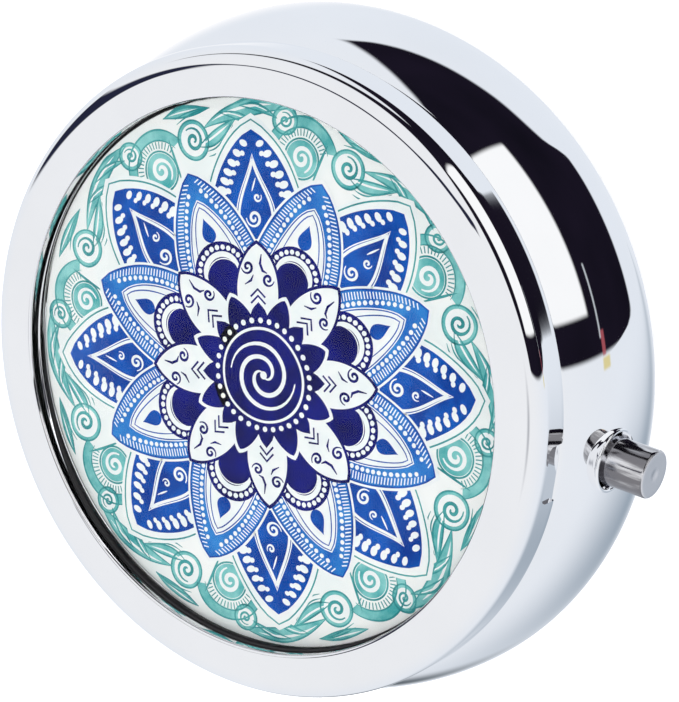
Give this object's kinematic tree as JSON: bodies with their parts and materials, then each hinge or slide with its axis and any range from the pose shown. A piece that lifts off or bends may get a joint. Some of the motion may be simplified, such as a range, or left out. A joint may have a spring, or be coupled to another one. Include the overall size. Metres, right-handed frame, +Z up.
{
  "type": "push-button pill box",
  "caption": "Round chromed pill box: hinged lid with a clear domed print and a mirror inside, push-button latch, plastic tray divided into wells.",
  "frame": {"origin": "centre of the flat underside, on the axis of the round base", "axes": "+Z up through the lid, -Y towards the push button, +Y towards the hinge, +X to the right as the button faces the viewer"},
  "size_m": [0.0502, 0.0532, 0.0185],
  "materials": {
    "chrome_shell": "polished chrome plate on pressed steel",
    "chrome_button": "polished sides, satin turned end",
    "bright_frame": "bright plated sheet, fine roll marks",
    "bright_hinge": "bright plated sheet",
    "hinge_pin_steel": "drawn wire, peened ends",
    "latch_steel": "zinc plated strip, sheared edges",
    "rivet_metal": "plain rivet",
    "spring_steel": "oiled spring steel",
    "tray_plastic": "moulded white plastic, fine texture",
    "mirror_glass": "silvered glass",
    "pad_foam": "thin adhesive foam",
    "glue_film": "adhesive film",
    "printed_paper": "white ground with blue and teal print",
    "clear_dome": "clear glossy dome"
  },
  "bodies": {
    "base": {"base_shell": "chrome_shell", "base_frame": "bright_frame", "base_hinge_leaf": "bright_hinge", "hinge_pin": "hinge_pin_steel", "pill_tray": "tray_plastic", "button_bush": "chrome_shell", "latch_bracket": "latch_steel", "bracket_rivets": "rivet_metal", "button_spring": "spring_steel"},
    "lid": {"lid_shell": "chrome_shell", "lid_hinge_leaf": "bright_hinge", "lid_catch": "latch_steel", "mirror_frame": "bright_frame", "mirror": "mirror_glass", "mirror_pad": "pad_foam", "art_glue": "glue_film", "art_disc": "printed_paper", "dome": "clear_dome"},
    "button": {"push_button": "chrome_button", "latch_slide": "latch_steel", "button_clip": "spring_steel"}
  },
  "joints": [
    {"name": "lid_hinge", "type": "hinge", "parent": "base", "child": "lid", "pos_m": [0, 0.0223, 0.01468], "axis": [-1, 0, 0], "range_deg": [0, 100]},
    {"name": "button_slide", "type": "slide", "parent": "base", "child": "button", "axis": [0, 1, 0], "range_m": [0, 0.0013], "stiffness_N_per_m": 800, "springref_m": -0.001, "deforming": ["button_spring"]}
  ]
}
